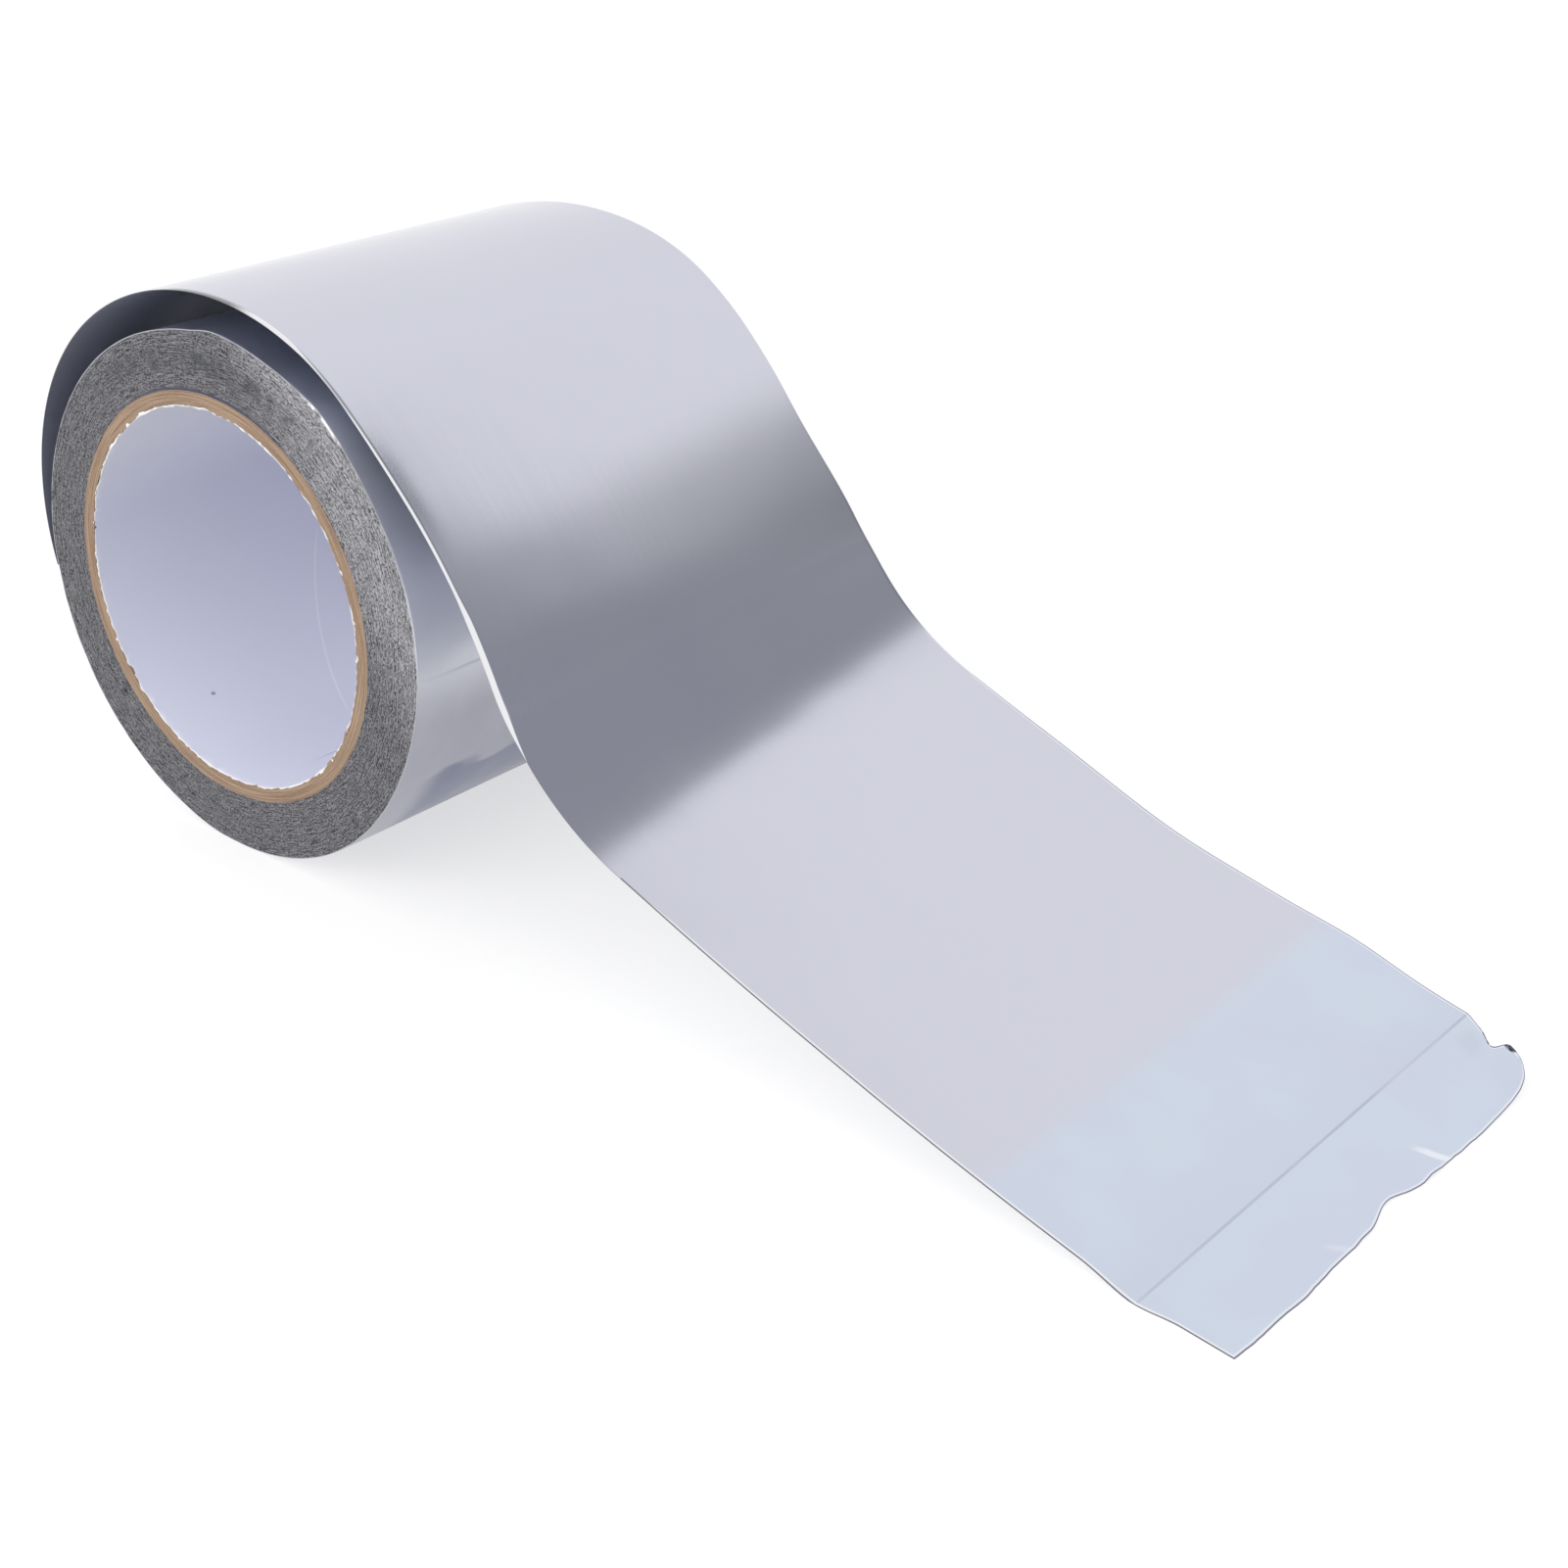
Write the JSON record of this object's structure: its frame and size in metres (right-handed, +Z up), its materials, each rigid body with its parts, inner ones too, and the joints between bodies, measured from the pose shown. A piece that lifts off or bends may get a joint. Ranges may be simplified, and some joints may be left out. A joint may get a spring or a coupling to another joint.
{
  "type": "aluminium foil tape roll",
  "caption": "Roll of wide aluminium foil tape on a board core, its outer turn loose and run out along the surface to a creased, torn end.",
  "frame": {"origin": "centre of the core's bore, midway between the two ends of the roll", "axes": "+Y along the bore, +Z up from the surface the roll lies on, +X the way the tape unrolls"},
  "size_m": [0.2903, 0.1095, 0.1142],
  "materials": {
    "foil": "satin rolled foil",
    "core_board": "cut brown paperboard",
    "liner_paper": "smooth white paper"
  },
  "bodies": {
    "root": {"foil_tape": "foil", "core_tube": "core_board", "core_liner": "liner_paper"}
  },
  "joints": []
}
